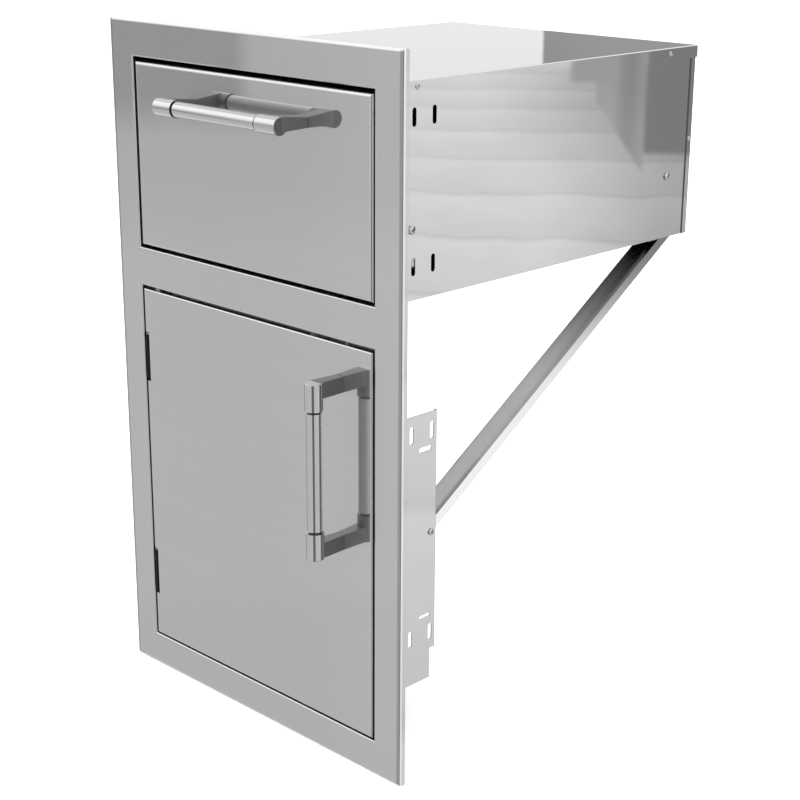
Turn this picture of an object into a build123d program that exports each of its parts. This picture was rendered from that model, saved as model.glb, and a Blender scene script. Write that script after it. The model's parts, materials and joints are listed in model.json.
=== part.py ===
from build123d import *
import math
import os

# Stainless steel door-and-drawer front for a built-in outdoor kitchen counter: one face frame
# holds a deep drawer in a closed housing above, and a hinged door over an open bay below.
# X is to the right, Y to the back and Z up, in millimetres. The origin is the middle of the
# frame's bottom edge, on the seating plane where the frame rests against the counter.

# --- sheet metal ---
SHEET = 1.2           # frame, fronts, housing and jambs
TRAY_SHEET = 1.0      # drawer tray
STRUT_SHEET = 1.5     # braces under the housing
BEND = 1.6            # outside radius of most folds
EDGE_BEND = 3.0       # outside radius round the face frame's edge and at the housing's rear corners
DRAWER_BEND = 4.0     # outside radius of the folds round the drawer front
DOOR_BEND = 2.0       # and round the door front

# --- face frame ---
FRAME_W, FRAME_H = 435.0, 740.0
FRAME_LIP = 7.5       # from the visible face back to the seating plane
SEAT_W = 10.0         # flange that lies on the counter, inside the folded edge
OPEN_X = 180.4        # half the width of both openings
DOOR_OPEN = (37.6, 455.6)
DRAWER_OPEN = (497.6, 701.6)
FACE = -FRAME_LIP
FRAME_BACK = FACE + SHEET
FLANGE_END = 15.0     # how far back the opening's folded flanges reach
STOP_LIP = 6.0        # turned in from the door opening's flange, behind the door's edges
SLEEVE_X = OPEN_X + SHEET

# --- fronts: the drawer front and the door are closed pans, flush with the frame ---
FRONT_X = 177.2
FRONT_BACK = 12.5
DOOR_Z = (39.8, 452.0)
DRAWER_Z = (500.6, 697.2)

# --- housing round the drawer ---
SIDE_X = SLEEVE_X + SHEET
COVER_X = SIDE_X + SHEET
HOUSING_Z = (495.2, 706.0)
HOUSING_BACK = 491.5
COVER_FLANGE = 13.0
BACK_FLANGE = 9.0
SIDE_FOOT = 22.0      # inward flange along the bottom of each side

# --- slotted fixing holes, through the housing sides and the door jambs ---
SLOT_L, SLOT_W = 18.0, 5.5
SIDE_SLOT_Y = (42.5, 70.0)
SIDE_SLOT_Z = (528.5, 671.5)
JAMB_SLOT_Y = (42.5, 71.5)
JAMB_SLOT_Z = (136.0, 357.5)

# --- door jambs ---
JAMB_Z = (83.5, 377.0)
JAMB_BACK = 79.6
JAMB_STEP = (71.5, 117.0)     # below this height the jamb is cut back to this depth
JAMB_TAB_X = 200.0
JAMB_RETURN = 3.0             # stiffening fold along the jamb's rear edge
BRACE_GAP = (235.0, 300.0)    # the rear fold is left out where the brace passes

# --- diagonal braces from the jambs to the housing ---
BRACE_LOW = (62.0, 237.0)     # web's outer face, (Y, Z), at its lower end
BRACE_HIGH = (464.7, 495.2)   # and where it meets the housing's bottom
BRACE_W, BRACE_FLANGE = 26.0, 12.0
BRACE_X = SLEEVE_X - BRACE_W / 2
BRACE_SCREW = (71.5, 247.5)
BRACE_TAB_Y = (424.0, 456.0)
BRACE_TAB_SCREW_Y = 438.0
BRACE_LUG = (60.0, 80.0)      # only the flange on the jamb goes on here, as a flat lug

# --- drawer tray ---
TRAY_X = 168.9
TRAY_Y = (FRONT_BACK, 461.0)
TRAY_Z = (510.0, 655.0)
TRAY_BACK_TOP = 642.0
HEM = 8.0

# --- telescopic slides: section across the gap between housing and tray, centred on SLIDE_Z ---
SLIDE_Z = 565.0
OUTER_Y, MIDDLE_Y, INNER_Y = (16.0, 473.0), (17.0, 464.0), (13.0, 461.0)
OUTER_CAGE_Y, INNER_CAGE_Y = (137.0, 337.0), (139.0, 339.0)
SLIDE_WALL = 1.2
OUTER_H, MIDDLE_H, INNER_H = 22.8, 16.6, 11.2      # half heights
OUTER_BALL_R, INNER_BALL_R = 2.35, 1.95
CAGE_WALL = 0.8
BALLS_PER_ROW = 9
SLIDE_SCREW_Y = (39.5, 448.0)
TRAY_SCREW_Y = (60.0, 420.0)

# --- handles: a tube between two end pieces, each a collar with a neck back to the front ---
HANDLE_L = 183.0
HANDLE_STANDOFF = 35.5
COLLAR_L, COLLAR_R = 28.0, 9.1
NECK_L = 16.5
NECK_TOP = 5.5                # above the bar's axis where it meets the front
NECK_UNDER = (5.9, 5.0)       # below it, at the collar and at the front
NECK_BLEND = 3.0
TUBE_R, TUBE_BORE = 7.95, 6.5
TUBE_GROOVE = 2.4             # left open between the tube and each collar
HANDLE_SCREW_AT = 83.2
DRAWER_HANDLE = Plane(origin=(0, FACE, 661.5), x_dir=(0, 1, 0), z_dir=(1, 0, 0))
DOOR_HANDLE = Plane(origin=(133.3, FACE, 329), x_dir=(0, 1, 0), z_dir=(0, 0, 1))

# --- door hinges ---
PIVOT_X, PIVOT_Y = -175.5, -4.4
BARREL_R, PIN_R, PIN_FIT = 3.1, 1.5, 0.05
LEAF = 1.0
LEAF_H = 50.0
KNUCKLE = 16.0        # the door's own knuckle, between the frame's two
KNUCKLE_GAP = 0.5
HINGE_Z = {"lower": 118.5, "upper": 375.0}
NOTCH_X, NOTCH_Y, NOTCH_H = -170.7, 0.4, 56.0

# --- magnetic catch and door stops ---
CATCH_X = (72.0, 118.0)
CATCH_Y = (15.6, 30.0)
CATCH_Z = (443.0, DOOR_OPEN[1] + SHEET)
POLE_FRONT = 14.0
STRIKE_X, STRIKE_Z = (75.0, 115.0), (436.0, 450.0)
STOP_Z = (110.0, 350.0)
BUMPER_R = 5.0
MOVING_GAP = 0.3      # left between a closed front and what it closes on

# --- fasteners ---
RIVET_R, RIVET_HEAD_R, RIVET_HEAD_H = 1.6, 2.8, 1.2
COVER_RIVET_Y, COVER_RIVET_Z = (45.2, 442.5), 699.5
BACK_RIVET = (485.5, 603.0)
SCREW_R, SCREW_HEAD_R, SCREW_HEAD_H = 2.0, 3.6, 2.0
HOUSING_SCREW_HEAD_R, HOUSING_SCREW_HEAD_H = 4.4, 2.8
HANDLE_SCREW_R, HANDLE_SCREW_HEAD_R, HANDLE_SCREW_HEAD_H = 2.5, 4.5, 2.5
TRAY_FRONT_SCREW_X, TRAY_FRONT_SCREW_Z = 130.0, (540.0, 630.0)

TURN = {"X": (0, 90, 0), "Y": (90, 0, 0), "Z": (0, 0, 0)}


def slab(x, y, z, mode=Mode.ADD):
    """A block, each axis given as (low, high)."""
    centre = [(low + high) / 2 for low, high in (x, y, z)]
    size = [high - low for low, high in (x, y, z)]
    with Locations(tuple(centre)):
        Box(*size, mode=mode)


def rod(axis, span, at, radius, mode=Mode.ADD):
    """A round bar along one axis over span, through the point at."""
    centre = list(at)
    centre["XYZ".index(axis)] = sum(span) / 2
    with Locations(tuple(centre)):
        Cylinder(radius, span[1] - span[0], rotation=TURN[axis], mode=mode)


def drill(axis, span, at, radius):
    """A round hole along one axis, cut a little past both ends of span."""
    rod(axis, (span[0] - 0.5, span[1] + 0.5), at, radius, mode=Mode.SUBTRACT)


def window_flange(z):
    """The folded edge round one opening, from the face back to FLANGE_END."""
    slab((-SLEEVE_X, SLEEVE_X), (FACE, FLANGE_END), (z[0] - SHEET, z[1] + SHEET))


def window_hole(z):
    """One opening, cut through the frame and its flange, with a rounded front edge."""
    slab((-OPEN_X, OPEN_X), (FACE - 1, FLANGE_END + 1), z, mode=Mode.SUBTRACT)


def pan(z, bend):
    """A front skin with all four edges folded back and rounded, open at the rear."""
    slab((-FRONT_X, FRONT_X), (FACE, FRONT_BACK), z)
    fillet(faces().sort_by(Axis.Y)[0].edges(), bend)
    offset(amount=-SHEET, openings=faces().sort_by(Axis.Y)[-1])


def liner(z):
    """The flat inner sheet that closes a pan, just inside its folded edges."""
    inside = FRONT_X - SHEET
    slab((-inside, inside), (FRONT_BACK - SHEET, FRONT_BACK), (z[0] + SHEET, z[1] - SHEET))


def handle_holes(plane):
    """The two screw holes behind a handle, through the skin and the liner."""
    with Locations(plane):
        with Locations((0, 0, HANDLE_SCREW_AT), (0, 0, -HANDLE_SCREW_AT)):
            Cylinder(HANDLE_SCREW_R, 60, rotation=TURN["X"], mode=Mode.SUBTRACT)


# ---------------------------------------------------------------- frame
with BuildPart() as face_frame:
    slab((-FRAME_W / 2, FRAME_W / 2), (FACE, 0), (0, FRAME_H))
    fillet(faces().sort_by(Axis.Y)[0].edges(), EDGE_BEND)
    edge = FRAME_W / 2 - SHEET
    slab((-edge, edge), (FRAME_BACK, -SHEET), (SHEET, FRAME_H - SHEET), mode=Mode.SUBTRACT)
    seat = FRAME_W / 2 - SEAT_W
    slab((-seat, seat), (-SHEET, 1), (SEAT_W, FRAME_H - SEAT_W), mode=Mode.SUBTRACT)
    window_flange(DOOR_OPEN)
    window_flange(DRAWER_OPEN)
    window_hole(DOOR_OPEN)
    window_hole(DRAWER_OPEN)
    rims = [w for w in faces().sort_by(Axis.Y)[0].inner_wires()]
    fillet([e for rim in rims for e in rim.edges()], BEND)
    lip_y = (FLANGE_END - SHEET, FLANGE_END)
    slab((OPEN_X - STOP_LIP, OPEN_X), lip_y, DOOR_OPEN)
    for lip_z in ((DOOR_OPEN[0], DOOR_OPEN[0] + STOP_LIP), (DOOR_OPEN[1] - STOP_LIP, DOOR_OPEN[1])):
        slab((-OPEN_X + 4, OPEN_X), lip_y, lip_z)
    # the lip is left out in front of the catch
    catch_gap = (CATCH_X[0] - 4, CATCH_X[1] + 4)
    slab(catch_gap, lip_y, (DOOR_OPEN[1] - STOP_LIP - 1, DOOR_OPEN[1]), mode=Mode.SUBTRACT)

with BuildPart() as door_jamb_right:
    slab((SLEEVE_X, SIDE_X), (FRAME_BACK, JAMB_BACK), JAMB_Z)
    slab((SIDE_X, JAMB_TAB_X), (FRAME_BACK, FRAME_BACK + SHEET), JAMB_Z)
    fold = (SLEEVE_X - JAMB_RETURN, SLEEVE_X)
    slab(fold, (JAMB_BACK - SHEET, JAMB_BACK), (JAMB_STEP[1], JAMB_Z[1]))
    rear_edges = edges().filter_by(Axis.Z).group_by(Axis.X)[-2].sort_by(Axis.Y)[-1:]
    fillet(rear_edges, BEND)
    slab(fold, (JAMB_BACK - 2 * SHEET, JAMB_BACK + 1), BRACE_GAP, mode=Mode.SUBTRACT)
    cut = (JAMB_Z[0] - 1, JAMB_STEP[1])
    slab((SLEEVE_X - 1, SIDE_X + 1), (JAMB_STEP[0], JAMB_BACK + 1), cut, mode=Mode.SUBTRACT)
    with BuildSketch(Plane.YZ.offset(SLEEVE_X - 1)):
        with Locations(*[(y, z) for y in JAMB_SLOT_Y for z in JAMB_SLOT_Z]):
            SlotOverall(SLOT_L, SLOT_W, rotation=90)
        with Locations((62.5, 339)):
            SlotOverall(SLOT_L, 5)
        with Locations((63.5, 156)):
            SlotOverall(16, 3)
    extrude(amount=SHEET + 2, mode=Mode.SUBTRACT)
    drill("X", (SLEEVE_X, SIDE_X), (0, *BRACE_SCREW), SCREW_R)

with BuildPart() as door_stop_tabs:
    for height in STOP_Z:
        tall = (height - 12, height + 12)
        stop_front = FRONT_BACK + MOVING_GAP + 3.4
        slab((162, SLEEVE_X), (stop_front, stop_front + SHEET), tall)
        slab((OPEN_X, SLEEVE_X), (stop_front, 34), tall)

with BuildPart() as door_bumpers:
    for height in STOP_Z:
        rod("Y", (FRONT_BACK + MOVING_GAP, stop_front), (169, 0, height), BUMPER_R)
    fillet(edges().group_by(Axis.Y)[0], 0.8)

# ---------------------------------------------------------------- housing
with BuildPart() as housing_side_right:
    slab((SLEEVE_X, SIDE_X), (FRAME_BACK, HOUSING_BACK - SHEET), (HOUSING_Z[0], HOUSING_Z[1] - SHEET))
    foot_z = (HOUSING_Z[0] + SHEET, HOUSING_Z[0] + 2 * SHEET)
    slab((SLEEVE_X - SIDE_FOOT, SLEEVE_X), (FLANGE_END + 0.5, HOUSING_BACK - SHEET), foot_z)
    with BuildSketch(Plane.YZ.offset(SLEEVE_X - 1)):
        with Locations(*[(y, z) for y in SIDE_SLOT_Y for z in SIDE_SLOT_Z]):
            SlotOverall(SLOT_L, SLOT_W, rotation=90)
        with Locations(*[(y, COVER_RIVET_Z) for y in COVER_RIVET_Y], BACK_RIVET):
            Circle(RIVET_R)
        with Locations(*[(y, SLIDE_Z) for y in SLIDE_SCREW_Y]):
            Circle(SCREW_R)
    extrude(amount=SHEET + 2, mode=Mode.SUBTRACT)
    drill("Z", foot_z, (BRACE_X, BRACE_TAB_SCREW_Y, 0), SCREW_R)

with BuildPart() as housing_bottom_panel:
    slab((-SLEEVE_X, SLEEVE_X), (FRAME_BACK, HOUSING_BACK - SHEET), (HOUSING_Z[0], HOUSING_Z[0] + SHEET))
    for hole_x in (-BRACE_X, BRACE_X):
        drill("Z", (HOUSING_Z[0], HOUSING_Z[0] + SHEET), (hole_x, BRACE_TAB_SCREW_Y, 0), SCREW_R)

with BuildPart() as housing_back_panel:
    flange_top = HOUSING_Z[1] - COVER_FLANGE - 1
    slab((-COVER_X, COVER_X), (HOUSING_BACK - BACK_FLANGE, HOUSING_BACK), (HOUSING_Z[0], flange_top))
    fillet(edges().filter_by(Axis.Z).group_by(Axis.Y)[-1], EDGE_BEND)
    hollow = (HOUSING_BACK - BACK_FLANGE - 1, HOUSING_BACK - SHEET)
    slab((-SIDE_X, SIDE_X), hollow, (HOUSING_Z[0] - 1, flange_top + 1), mode=Mode.SUBTRACT)
    slab((-SIDE_X, SIDE_X), (HOUSING_BACK - SHEET, HOUSING_BACK), (flange_top, HOUSING_Z[1] - SHEET))
    for span in ((-COVER_X, -SIDE_X), (SIDE_X, COVER_X)):
        drill("X", span, (0, *BACK_RIVET), RIVET_R)

with BuildPart() as housing_top_cover:
    cover_y = (FRAME_BACK, HOUSING_BACK + SHEET)
    slab((-COVER_X, COVER_X), cover_y, (HOUSING_Z[1] - COVER_FLANGE, HOUSING_Z[1]))
    top = faces().sort_by(Axis.Z)[-1]
    fillet(top.edges().sort_by(Axis.Y)[1:], BEND)
    hollow = (HOUSING_Z[1] - COVER_FLANGE - 1, HOUSING_Z[1] - SHEET)
    slab((-SIDE_X, SIDE_X), (FRAME_BACK - 1, HOUSING_BACK), hollow, mode=Mode.SUBTRACT)
    for span in ((-COVER_X, -SIDE_X), (SIDE_X, COVER_X)):
        for rivet_y in COVER_RIVET_Y:
            drill("X", span, (0, rivet_y, COVER_RIVET_Z), RIVET_R)

with BuildPart() as housing_rivets:
    for rivet_y, rivet_z in [(y, COVER_RIVET_Z) for y in COVER_RIVET_Y] + [BACK_RIVET]:
        rod("X", (SLEEVE_X, COVER_X), (0, rivet_y, rivet_z), RIVET_R)
        rod("X", (SLEEVE_X - 1, SLEEVE_X), (0, rivet_y, rivet_z), RIVET_R + 0.8)
        rod("X", (COVER_X, COVER_X + RIVET_HEAD_H), (0, rivet_y, rivet_z), RIVET_HEAD_R)
    fillet(edges().group_by(Axis.X)[-1], RIVET_HEAD_H * 0.8)
    mirror(about=Plane.YZ)

# ---------------------------------------------------------------- braces
with BuildPart() as brace_right:
    low, high = Vector(0, *BRACE_LOW), Vector(0, *BRACE_HIGH)
    run = (high - low).normalized()
    section = Plane(origin=low + Vector(BRACE_X, 0, 0), x_dir=(1, 0, 0), z_dir=run)
    # in the section, +Y points up and to the front, out of the channel's open side
    up = -1 if section.y_dir.Z < 0 else 1
    with BuildSketch(section):
        with Locations((0, up * BRACE_FLANGE / 2)):
            Rectangle(BRACE_W, BRACE_FLANGE)
        with Locations((0, up * (STRUT_SHEET + BRACE_FLANGE / 2))):
            Rectangle(BRACE_W - 2 * STRUT_SHEET, BRACE_FLANGE, mode=Mode.SUBTRACT)
    extrude(amount=(high - low).length + 30)
    web_corners = edges().filter_by(lambda e: abs(e.tangent_at(0.5).dot(run)) > 0.999)
    outer = web_corners.sort_by(Axis((0, 0, 0), section.y_dir * up))[:2]
    fillet(outer, BEND)
    lug_x = (SLEEVE_X - STRUT_SHEET, SLEEVE_X)
    slab(lug_x, BRACE_LUG, (238, 262))
    tab_x = (SLEEVE_X - BRACE_W + STRUT_SHEET, SLEEVE_X - STRUT_SHEET)
    slab(tab_x, BRACE_TAB_Y, (HOUSING_Z[0] - STRUT_SHEET, HOUSING_Z[0]))
    slab((0, 300), (0, 600), (HOUSING_Z[0], HOUSING_Z[0] + 60), mode=Mode.SUBTRACT)
    slab((0, 300), (0, BRACE_LUG[0]), (200, 300), mode=Mode.SUBTRACT)
    slab((0, lug_x[0]), (0, BRACE_LUG[1]), (200, 300), mode=Mode.SUBTRACT)
    drill("X", lug_x, (0, *BRACE_SCREW), SCREW_R)
    tab_hole = (BRACE_X, BRACE_TAB_SCREW_Y, 0)
    drill("Z", (HOUSING_Z[0] - STRUT_SHEET, HOUSING_Z[0]), tab_hole, SCREW_R)

with BuildPart() as brace_screws:
    rod("X", (SIDE_X, SIDE_X + SCREW_HEAD_H), (0, *BRACE_SCREW), SCREW_HEAD_R)
    rod("X", (SLEEVE_X - 8, SIDE_X), (0, *BRACE_SCREW), SCREW_R)
    tab_under = HOUSING_Z[0] - STRUT_SHEET
    rod("Z", (tab_under - SCREW_HEAD_H, tab_under), tab_hole, SCREW_HEAD_R)
    rod("Z", (tab_under, HOUSING_Z[0] + 6), tab_hole, SCREW_R)
    fillet(edges().group_by(Axis.X)[-1], 0.8)
    mirror(about=Plane.YZ)

with BuildPart() as brace_nuts:
    nut_planes = [
        Plane(origin=(SLEEVE_X - STRUT_SHEET, *BRACE_SCREW), x_dir=(0, 1, 0), z_dir=(-1, 0, 0)),
        Plane(origin=(BRACE_X, BRACE_TAB_SCREW_Y, HOUSING_Z[0] + 2 * SHEET), z_dir=(0, 0, 1)),
    ]
    for nut_plane in nut_planes:
        with BuildSketch(nut_plane):
            RegularPolygon(radius=4.0, side_count=6)
            Circle(SCREW_R, mode=Mode.SUBTRACT)
        extrude(amount=3.2)
    mirror(about=Plane.YZ)

# ---------------------------------------------------------------- slides, right side
def channel(y, back_x, tip_x, half_h, lip):
    """A sheet channel lying along Y, its web at back_x and its two flanges reaching to tip_x.

    lip is how far the flanges' free edges are turned in; a lip of 0 leaves them plain.
    """
    web, tip = sorted((back_x, tip_x))
    inward = 1 if back_x < tip_x else -1
    tall = (SLIDE_Z - half_h, SLIDE_Z + half_h)
    slab((web, tip), y, tall)
    hollow = sorted((back_x + inward * SLIDE_WALL, tip_x + inward))
    cut_z = (tall[0] + SLIDE_WALL, tall[1] - SLIDE_WALL)
    slab(hollow, (y[0] - 1, y[1] + 1), cut_z, mode=Mode.SUBTRACT)
    lip_x = sorted((tip_x, tip_x - inward * SLIDE_WALL))
    for edge_z in ((cut_z[0], cut_z[0] + lip), (cut_z[1] - lip, cut_z[1])):
        if lip:
            slab(lip_x, y, edge_z)


with BuildPart() as slide_outer_right:
    channel(OUTER_Y, SLEEVE_X, SLEEVE_X - 9.8, OUTER_H, 2.7)
    for screw_y in SLIDE_SCREW_Y:
        drill("X", (SLEEVE_X - SLIDE_WALL, SLEEVE_X), (0, screw_y, SLIDE_Z), SCREW_R)

with BuildPart() as slide_middle_right:
    channel(MIDDLE_Y, SLEEVE_X - 2.5, SLEEVE_X - 12.1, MIDDLE_H, 2.6)

with BuildPart() as slide_inner_right:
    channel(INNER_Y, TRAY_X, SLEEVE_X - 5.1, INNER_H, 0)
    for screw_y in TRAY_SCREW_Y:
        drill("X", (TRAY_X, TRAY_X + SLIDE_WALL), (0, screw_y, SLIDE_Z), SCREW_R)


def ball_spots(y, x, height):
    """Evenly spaced ball centres in two rows, above and below the slide's middle."""
    pitch = (y[1] - y[0]) / BALLS_PER_ROW
    rows = [y[0] + pitch * (i + 0.5) for i in range(BALLS_PER_ROW)]
    return [(x, row, SLIDE_Z + side * height) for row in rows for side in (-1, 1)]


def cage(y, web_x, tip_x, height, ball_r, spots):
    """A ball retainer: two strips with a hole for each ball, joined by a web."""
    half = height + CAGE_WALL / 2
    slab((tip_x, web_x), y, (SLIDE_Z - half, SLIDE_Z + half))
    inner = half - CAGE_WALL
    cut_x = (tip_x - 1, web_x - 0.6)
    slab(cut_x, (y[0] - 1, y[1] + 1), (SLIDE_Z - inner, SLIDE_Z + inner), mode=Mode.SUBTRACT)
    with Locations(*spots):
        Cylinder(ball_r + 0.1, 4, mode=Mode.SUBTRACT)


outer_spots = ball_spots(OUTER_CAGE_Y, SLEEVE_X - 5.2, 19.1)
inner_spots = ball_spots(INNER_CAGE_Y, SLEEVE_X - 7.4, 13.3)

with BuildPart() as outer_ball_cage_right:
    cage(OUTER_CAGE_Y, SLEEVE_X - 1.5, SLEEVE_X - 8.3, 19.1, OUTER_BALL_R, outer_spots)

with BuildPart() as inner_ball_cage_right:
    cage(INNER_CAGE_Y, SLEEVE_X - 4.1, SLEEVE_X - 10.5, 13.3, INNER_BALL_R, inner_spots)

with BuildPart() as outer_balls_right:
    with Locations(*outer_spots):
        Sphere(OUTER_BALL_R)

with BuildPart() as inner_balls_right:
    with Locations(*inner_spots):
        Sphere(INNER_BALL_R)

with BuildPart() as slide_stop_bumpers:
    slab((SLEEVE_X - 8.5, SLEEVE_X - SLIDE_WALL), (465, 470), (SLIDE_Z - 12, SLIDE_Z + 12))
    fillet(edges().filter_by(Axis.X), 1.5)
    mirror(about=Plane.YZ)

with BuildPart() as slide_mount_screws:
    for screw_y in SLIDE_SCREW_Y:
        rod("X", (SLEEVE_X - SLIDE_WALL, SIDE_X), (0, screw_y, SLIDE_Z), SCREW_R)
        head = (SIDE_X, SIDE_X + HOUSING_SCREW_HEAD_H)
        rod("X", head, (0, screw_y, SLIDE_Z), HOUSING_SCREW_HEAD_R)
    fillet(edges().group_by(Axis.X)[-1], 1.2)
    mirror(about=Plane.YZ)

# ---------------------------------------------------------------- drawer
with BuildPart() as drawer_front_panel:
    pan(DRAWER_Z, DRAWER_BEND)
    handle_holes(DRAWER_HANDLE)

with BuildPart() as drawer_front_liner:
    liner(DRAWER_Z)
    handle_holes(DRAWER_HANDLE)
    for side in (-1, 1):
        for screw_z in TRAY_FRONT_SCREW_Z:
            at = (side * TRAY_FRONT_SCREW_X, 0, screw_z)
            drill("Y", (FRONT_BACK - SHEET, FRONT_BACK), at, SCREW_R)

with BuildPart() as drawer_tray:
    slab((-TRAY_X, TRAY_X), TRAY_Y, TRAY_Z)
    inside = TRAY_X - TRAY_SHEET
    throat = TRAY_X - HEM
    past = (TRAY_Y[0] - 1, TRAY_Y[1] + 1)
    hem_under = TRAY_Z[1] - TRAY_SHEET
    slab((-inside, inside), past, (TRAY_Z[0] + TRAY_SHEET, hem_under), mode=Mode.SUBTRACT)
    slab((-throat, throat), past, (hem_under - 1, TRAY_Z[1] + 1), mode=Mode.SUBTRACT)
    for side in (-1, 1):
        for screw_y in TRAY_SCREW_Y:
            wall = (side * TRAY_X - TRAY_SHEET, side * TRAY_X + TRAY_SHEET)
            drill("X", wall, (0, screw_y, SLIDE_Z), SCREW_R)

with BuildPart() as drawer_tray_front:
    wall_z = (TRAY_Z[0] + TRAY_SHEET, hem_under)
    slab((-inside, inside), (FRONT_BACK, FRONT_BACK + TRAY_SHEET), wall_z)
    slab((-throat + 1, throat - 1), (FRONT_BACK, FRONT_BACK + HEM), (hem_under, TRAY_Z[1]))
    for side in (-1, 1):
        for screw_z in TRAY_FRONT_SCREW_Z:
            at = (side * TRAY_FRONT_SCREW_X, 0, screw_z)
            drill("Y", (FRONT_BACK, FRONT_BACK + TRAY_SHEET), at, SCREW_R)

with BuildPart() as drawer_tray_back:
    slab((-inside, inside), (TRAY_Y[1] - TRAY_SHEET, TRAY_Y[1]), (TRAY_Z[0] + TRAY_SHEET, TRAY_BACK_TOP))
    slab((-inside, inside), (TRAY_Y[1] - HEM, TRAY_Y[1]), (TRAY_BACK_TOP, TRAY_BACK_TOP + TRAY_SHEET))

with BuildPart() as drawer_front_screws:
    for screw_z in TRAY_FRONT_SCREW_Z:
        at = (TRAY_FRONT_SCREW_X, 0, screw_z)
        rod("Y", (FRONT_BACK - 5, FRONT_BACK + TRAY_SHEET), at, SCREW_R)
        rod("Y", (FRONT_BACK + TRAY_SHEET, FRONT_BACK + TRAY_SHEET + SCREW_HEAD_H), at, SCREW_HEAD_R)
    fillet(edges().group_by(Axis.Y)[-1], 0.8)
    mirror(about=Plane.YZ)

with BuildPart() as drawer_slide_screws:
    for screw_y in TRAY_SCREW_Y:
        at = (0, screw_y, SLIDE_Z)
        rod("X", (inside, TRAY_X + SLIDE_WALL), at, SCREW_R)
        rod("X", (inside - SCREW_HEAD_H, inside), at, SCREW_HEAD_R)
    fillet(edges().group_by(Axis.X)[0], 0.8)
    mirror(about=Plane.YZ)


# ---------------------------------------------------------------- handles
def handle_tube(plane):
    """The grip: a tube along the plane's normal, between the two collars."""
    length = HANDLE_L - 2 * (COLLAR_L + TUBE_GROOVE)
    with BuildPart(plane) as tube:
        with Locations((-HANDLE_STANDOFF, 0, 0)):
            Cylinder(TUBE_R, length)
            Cylinder(TUBE_BORE, length, mode=Mode.SUBTRACT)
    return tube


def handle_ends(plane):
    """The two end pieces: a round collar at the grip and a tapered neck back to the front."""
    along = Axis(plane.origin, plane.z_dir)
    reach = math.hypot(HANDLE_STANDOFF, NECK_TOP)
    lean = math.asin(COLLAR_R / reach) - math.atan(NECK_TOP / HANDLE_STANDOFF)
    leaves_collar = (COLLAR_R * math.sin(lean) - HANDLE_STANDOFF, COLLAR_R * math.cos(lean))
    bar = Plane(plane.origin - plane.x_dir * HANDLE_STANDOFF, x_dir=plane.x_dir, z_dir=plane.z_dir)
    with BuildPart() as ends:
        for start in (-HANDLE_L / 2, HANDLE_L / 2 - NECK_L):
            with BuildSketch(plane.offset(start)):
                with Locations((-HANDLE_STANDOFF, 0)):
                    Circle(COLLAR_R)
                under = [(0, -NECK_UNDER[1]), (-HANDLE_STANDOFF, -NECK_UNDER[0])]
                Polygon(leaves_collar, (0, NECK_TOP), *under, align=None)
                fillet(vertices().sort_by(Axis.Y)[0], NECK_BLEND)
            extrude(amount=NECK_L)
        for end in (-1, 1):
            with Locations(bar.offset(end * (HANDLE_L - COLLAR_L) / 2)):
                Cylinder(COLLAR_R, COLLAR_L)
        outer_faces = faces().filter_by(plane).sort_by(along)
        rims = outer_faces[0].edges() + outer_faces[-1].edges()
        fillet(rims, 0.8)
        for end in (-1, 1):
            with Locations(bar.offset(end * (HANDLE_L / 2 - COLLAR_L - 6))):
                Cylinder(TUBE_BORE - PIN_FIT, 12)
            with Locations(plane.offset(end * HANDLE_SCREW_AT)):
                with Locations((-10, 0, 0)):
                    Cylinder(HANDLE_SCREW_R, 20, rotation=TURN["X"], mode=Mode.SUBTRACT)
    return ends


def handle_screws(plane):
    """The screws that hold a handle, their heads on the liner and their ends in the end pieces."""
    depth = FRONT_BACK - FACE
    with BuildPart(plane) as screws:
        for end in (-1, 1):
            with Locations(((depth - 19) / 2, 0, end * HANDLE_SCREW_AT)):
                Cylinder(HANDLE_SCREW_R, depth + 19, rotation=TURN["X"])
            with Locations((depth + HANDLE_SCREW_HEAD_H / 2, 0, end * HANDLE_SCREW_AT)):
                Cylinder(HANDLE_SCREW_HEAD_R, HANDLE_SCREW_HEAD_H, rotation=TURN["X"])
        fillet(edges().group_by(Axis.Y)[-1], 1.0)
    return screws


# ---------------------------------------------------------------- door
with BuildPart() as door_outer_panel:
    pan(DOOR_Z, DOOR_BEND)
    handle_holes(DOOR_HANDLE)
    for hinge_z in HINGE_Z.values():
        notch_z = (hinge_z - NOTCH_H / 2, hinge_z + NOTCH_H / 2)
        slab((-FRONT_X - 1, NOTCH_X), (FACE - 1, NOTCH_Y), notch_z, mode=Mode.SUBTRACT)

with BuildPart() as door_inner_panel:
    liner(DOOR_Z)
    handle_holes(DOOR_HANDLE)

with BuildPart() as door_strike_plate:
    slab(STRIKE_X, (FRONT_BACK, FRONT_BACK + SHEET), STRIKE_Z)
    fillet(edges().filter_by(Axis.Y), 2)


# ---------------------------------------------------------------- hinges
def knuckle_spans(z):
    """The frame's two knuckles and the door's one between them, as height ranges."""
    inner, outer = KNUCKLE / 2, LEAF_H / 2
    frame_spans = [(z - outer, z - inner - KNUCKLE_GAP), (z + inner + KNUCKLE_GAP, z + outer)]
    return frame_spans, (z - inner, z + inner)


def hinge_frame_leaf(z):
    """The leaf welded to the opening's left flange, with the outer two knuckles."""
    strap_y = (PIVOT_Y + BARREL_R - LEAF, PIVOT_Y + BARREL_R)
    with BuildPart() as leaf:
        slab((-OPEN_X, -OPEN_X + LEAF), (strap_y[0], FRONT_BACK), (z - LEAF_H / 2, z + LEAF_H / 2))
        for span in knuckle_spans(z)[0]:
            rod("Z", span, (PIVOT_X, PIVOT_Y, 0), BARREL_R)
            slab((-OPEN_X, PIVOT_X), strap_y, span)
        drill("Z", (z - LEAF_H / 2, z + LEAF_H / 2), (PIVOT_X, PIVOT_Y, 0), PIN_R + PIN_FIT)
    return leaf


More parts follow.
